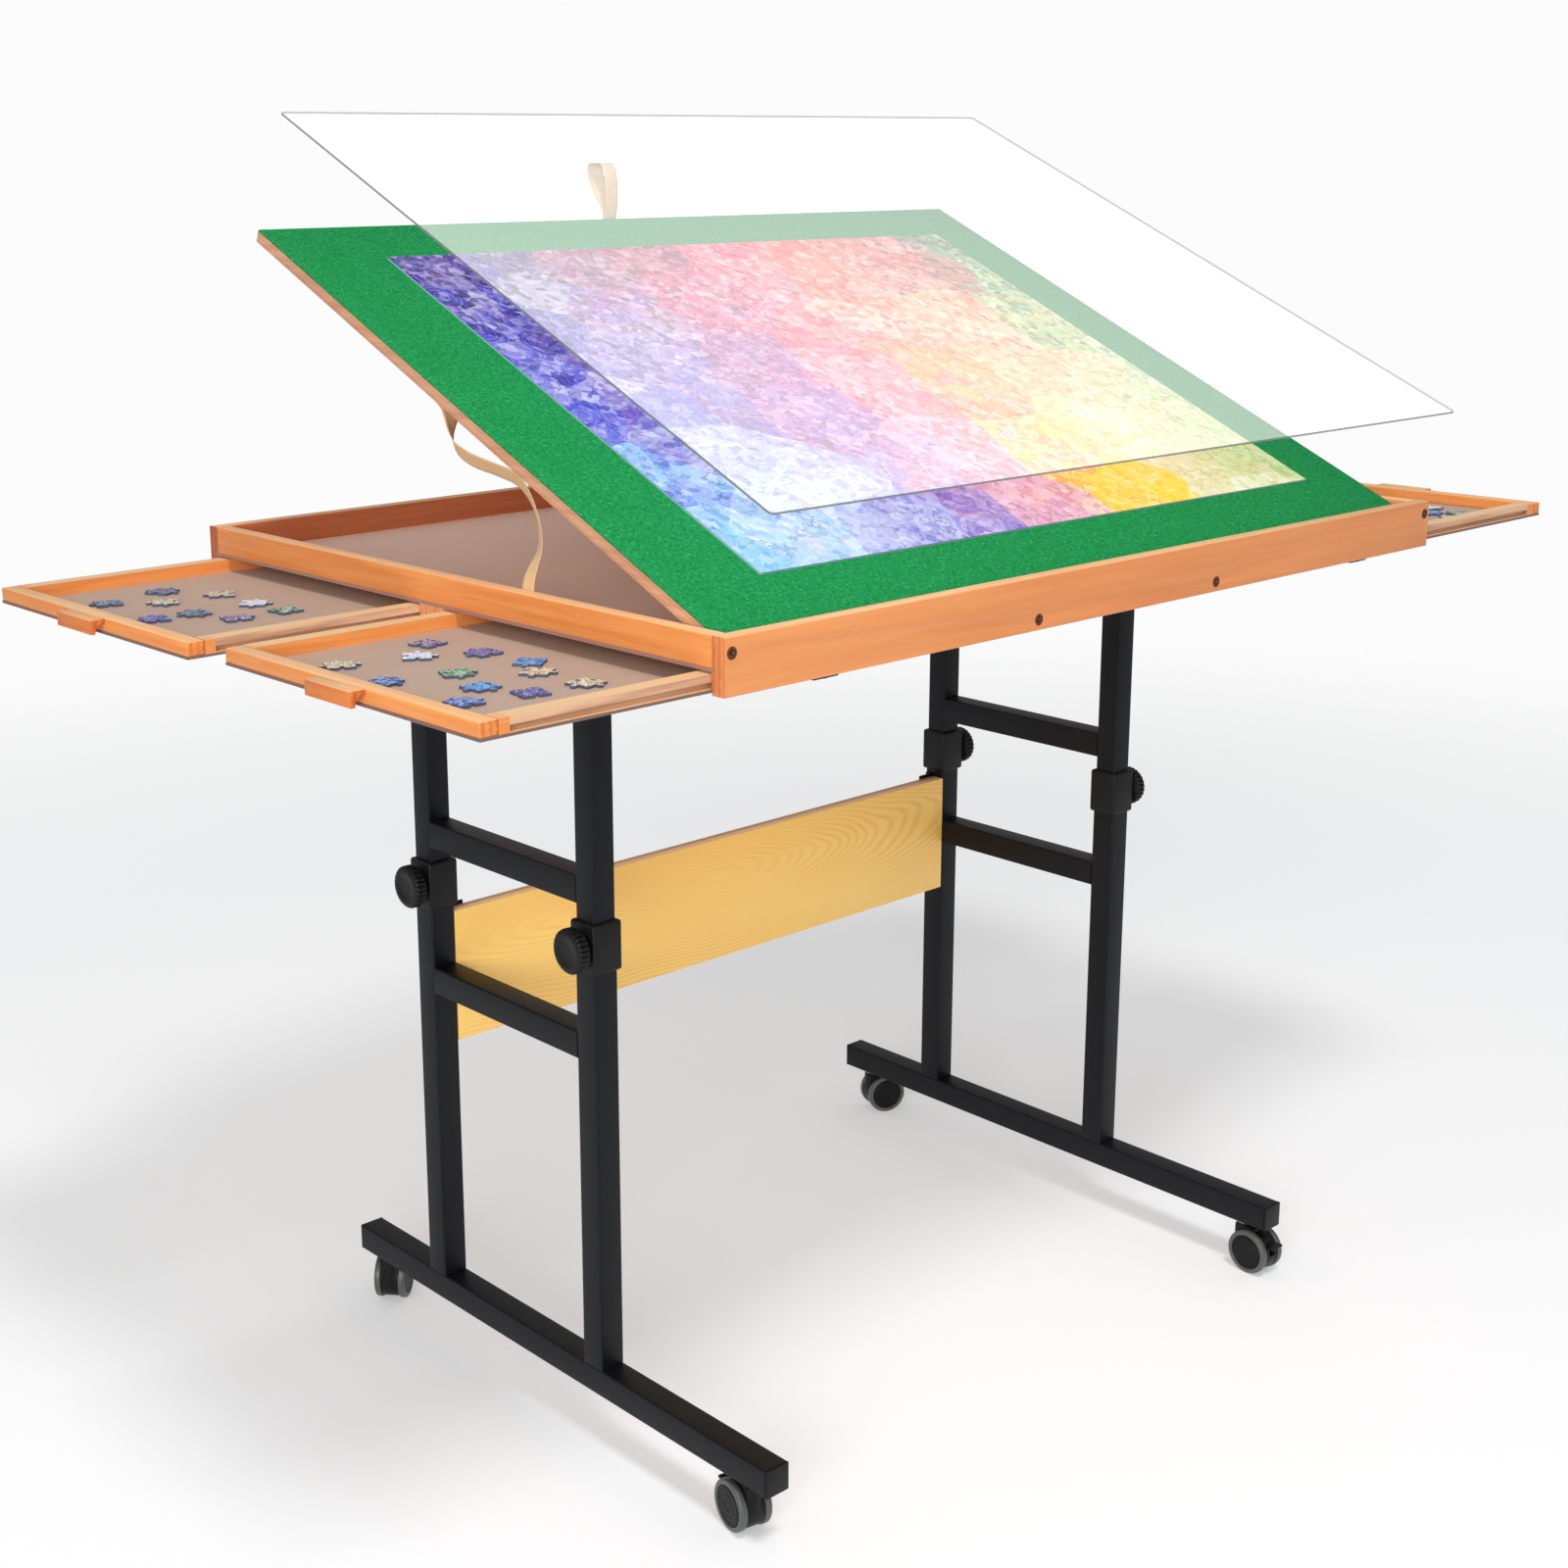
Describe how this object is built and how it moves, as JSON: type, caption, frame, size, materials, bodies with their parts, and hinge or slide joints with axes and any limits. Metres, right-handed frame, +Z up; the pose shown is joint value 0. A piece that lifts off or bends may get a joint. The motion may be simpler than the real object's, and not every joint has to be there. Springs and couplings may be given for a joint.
{
  "type": "jigsaw puzzle table",
  "caption": "Jigsaw puzzle table on casters, with a tilting felt board under a clear lift-off cover, shallow drawers at both ends and height-adjustable steel legs.",
  "frame": {"origin": "on the floor, under the middle of the table's box", "axes": "+X along the table to its right end, +Y from the sitter's edge to the back, +Z up"},
  "size_m": [1.36, 0.7106, 1.1285],
  "materials": {
    "black_steel": "satin powder coat",
    "black_plastic": "moulded, satin",
    "rail_wood": "clear satin varnish",
    "pale_wood": "clear satin varnish",
    "drawer_wood": "clear satin varnish",
    "thin_board": "smooth, thin board",
    "bright_steel": "zinc plated",
    "green_felt": "short felt",
    "puzzle_card": "printed card",
    "clear_sheet": "clear, polished",
    "satin_ribbon": "satin weave",
    "grey_tyre": "matt, bevelled"
  },
  "bodies": {
    "base": {"lower_frame_left": "black_steel", "lower_frame_right": "black_steel", "height_collars": "black_plastic", "foot_end_plugs": "black_plastic", "stretcher_panel": "pale_wood", "stretcher_brackets": "black_steel", "stretcher_screws": "bright_steel", "caster_stems": "bright_steel"},
    "table": {"upper_frame_left": "black_steel", "upper_frame_right": "black_steel", "front_rail": "rail_wood", "back_rail": "rail_wood", "left_rail": "rail_wood", "right_rail": "rail_wood", "deck_panel": "thin_board", "drawer_dividers": "pale_wood", "drawer_runners": "pale_wood", "table_screws": "bright_steel", "prop_rack": "pale_wood", "board_hinges": "bright_steel", "stay_ribbons": "satin_ribbon"},
    "board": {"board_frame": "pale_wood", "board_panel": "thin_board", "felt_top": "green_felt", "assembled_puzzle": "puzzle_card", "board_hinge_leaves": "bright_steel", "prop_brackets": "pale_wood", "pull_ribbon": "satin_ribbon"},
    "prop": {"prop_frame": "bright_steel"},
    "cover": {"cover_sheet": "clear_sheet"},
    "drawer_front_left": {"drawer_front_left_frame": "drawer_wood", "drawer_front_left_bottom": "thin_board", "drawer_front_left_pull": "drawer_wood"},
    "knob_front_left": {"knob_front_left": "black_plastic"},
    "caster_front_left": {"caster_front_left_hood": "black_plastic"},
    "wheels_front_left": {"caster_front_left_wheels": "black_plastic", "caster_front_left_tyres": "grey_tyre"},
    "pedal_front_left": {"caster_front_left_pedal": "black_plastic"},
    "drawer_front_right": {"drawer_front_right_frame": "drawer_wood", "drawer_front_right_bottom": "thin_board", "drawer_front_right_pull": "drawer_wood"},
    "knob_front_right": {"knob_front_right": "black_plastic"},
    "caster_front_right": {"caster_front_right_hood": "black_plastic"},
    "wheels_front_right": {"caster_front_right_wheels": "black_plastic", "caster_front_right_tyres": "grey_tyre"},
    "pedal_front_right": {"caster_front_right_pedal": "black_plastic"},
    "drawer_back_left": {"drawer_back_left_frame": "drawer_wood", "drawer_back_left_bottom": "thin_board", "drawer_back_left_pull": "drawer_wood"},
    "knob_back_left": {"knob_back_left": "black_plastic"},
    "caster_back_left": {"caster_back_left_hood": "black_plastic"},
    "wheels_back_left": {"caster_back_left_wheels": "black_plastic", "caster_back_left_tyres": "grey_tyre"},
    "drawer_back_right": {"drawer_back_right_frame": "drawer_wood", "drawer_back_right_bottom": "thin_board", "drawer_back_right_pull": "drawer_wood"},
    "knob_back_right": {"knob_back_right": "black_plastic"},
    "caster_back_right": {"caster_back_right_hood": "black_plastic"},
    "wheels_back_right": {"caster_back_right_wheels": "black_plastic", "caster_back_right_tyres": "grey_tyre"}
  },
  "joints": [
    {"name": "table_height", "type": "slide", "parent": "base", "child": "table", "axis": [0, 0, 1], "range_m": [-0.012, 0.25]},
    {"name": "board_tilt", "type": "hinge", "parent": "table", "child": "board", "pos_m": [0, -0.3248, 0.7521], "axis": [1, 0, 0], "range_deg": [-24.9, 10], "deforming": ["stay_ribbons"]},
    {"name": "prop_fold", "type": "hinge", "parent": "board", "child": "prop", "pos_m": [0, -0.05798, 0.87794], "axis": [1, 0, 0], "range_deg": [-20, 49.8]},
    {"name": "cover_lift", "type": "slide", "parent": "board", "child": "cover", "axis": [0, -0.421, 0.907], "range_m": [-0.101, 0]},
    {"name": "drawer_front_left_slide", "type": "slide", "parent": "table", "child": "drawer_front_left", "axis": [-1, 0, 0], "range_m": [-0.196, 0.064]},
    {"name": "drawer_front_right_slide", "type": "slide", "parent": "table", "child": "drawer_front_right", "axis": [1, 0, 0], "range_m": [-0.236, 0.024]},
    {"name": "drawer_back_left_slide", "type": "slide", "parent": "table", "child": "drawer_back_left", "axis": [-1, 0, 0], "range_m": [-0.208, 0.052]},
    {"name": "drawer_back_right_slide", "type": "slide", "parent": "table", "child": "drawer_back_right", "axis": [1, 0, 0], "range_m": [-0.222, 0.038]},
    {"name": "knob_front_left_turn", "type": "hinge", "parent": "base", "child": "knob_front_left", "pos_m": [-0.3413, -0.0709, 0.4578], "axis": [-1, 0, 0], "range_deg": [0, 360]},
    {"name": "knob_front_right_turn", "type": "hinge", "parent": "base", "child": "knob_front_right", "pos_m": [0.3413, -0.0709, 0.4578], "axis": [1, 0, 0], "range_deg": [0, 360]},
    {"name": "knob_back_left_turn", "type": "hinge", "parent": "base", "child": "knob_back_left", "pos_m": [-0.3413, 0.1587, 0.4578], "axis": [-1, 0, 0], "range_deg": [0, 360]},
    {"name": "knob_back_right_turn", "type": "hinge", "parent": "base", "child": "knob_back_right", "pos_m": [0.3413, 0.1587, 0.4578], "axis": [1, 0, 0], "range_deg": [0, 360]},
    {"name": "caster_front_left_swivel", "type": "hinge", "parent": "base", "child": "caster_front_left", "pos_m": [-0.3413, -0.2576, 0.0471], "axis": [0, 0, 1], "continuous": true},
    {"name": "caster_front_left_roll", "type": "hinge", "parent": "caster_front_left", "child": "wheels_front_left", "pos_m": [-0.33882, -0.24484, 0.022], "axis": [-0.9816, 0.1908, 0], "continuous": true},
    {"name": "pedal_front_left_press", "type": "hinge", "parent": "caster_front_left", "child": "pedal_front_left", "pos_m": [-0.33672, -0.23404, 0.031], "axis": [-0.9816, 0.1908, 0], "range_deg": [0, 15]},
    {"name": "caster_front_right_swivel", "type": "hinge", "parent": "base", "child": "caster_front_right", "pos_m": [0.3413, -0.2576, 0.0471], "axis": [0, 0, 1], "continuous": true},
    {"name": "caster_front_right_roll", "type": "hinge", "parent": "caster_front_right", "child": "wheels_front_right", "pos_m": [0.34051, -0.27058, 0.022], "axis": [0.9981, -0.061, 0], "continuous": true},
    {"name": "pedal_front_right_press", "type": "hinge", "parent": "caster_front_right", "child": "pedal_front_right", "pos_m": [0.33983, -0.28155, 0.031], "axis": [0.9981, -0.061, 0], "range_deg": [0, 15]},
    {"name": "caster_back_left_swivel", "type": "hinge", "parent": "base", "child": "caster_back_left", "pos_m": [-0.3413, 0.2576, 0.0471], "axis": [0, 0, 1], "continuous": true},
    {"name": "caster_back_left_roll", "type": "hinge", "parent": "caster_back_left", "child": "wheels_back_left", "pos_m": [-0.33142, 0.26604, 0.022], "axis": [-0.6494, 0.7604, 0], "continuous": true},
    {"name": "caster_back_right_swivel", "type": "hinge", "parent": "base", "child": "caster_back_right", "pos_m": [0.3413, 0.2576, 0.0471], "axis": [0, 0, 1], "continuous": true},
    {"name": "caster_back_right_roll", "type": "hinge", "parent": "caster_back_right", "child": "wheels_back_right", "pos_m": [0.3532, 0.25238, 0.022], "axis": [0.4019, 0.9157, 0], "continuous": true}
  ],
  "couplings": [
    {"joint": "prop_fold", "follows": "board_tilt", "ratio": -2}
  ]
}
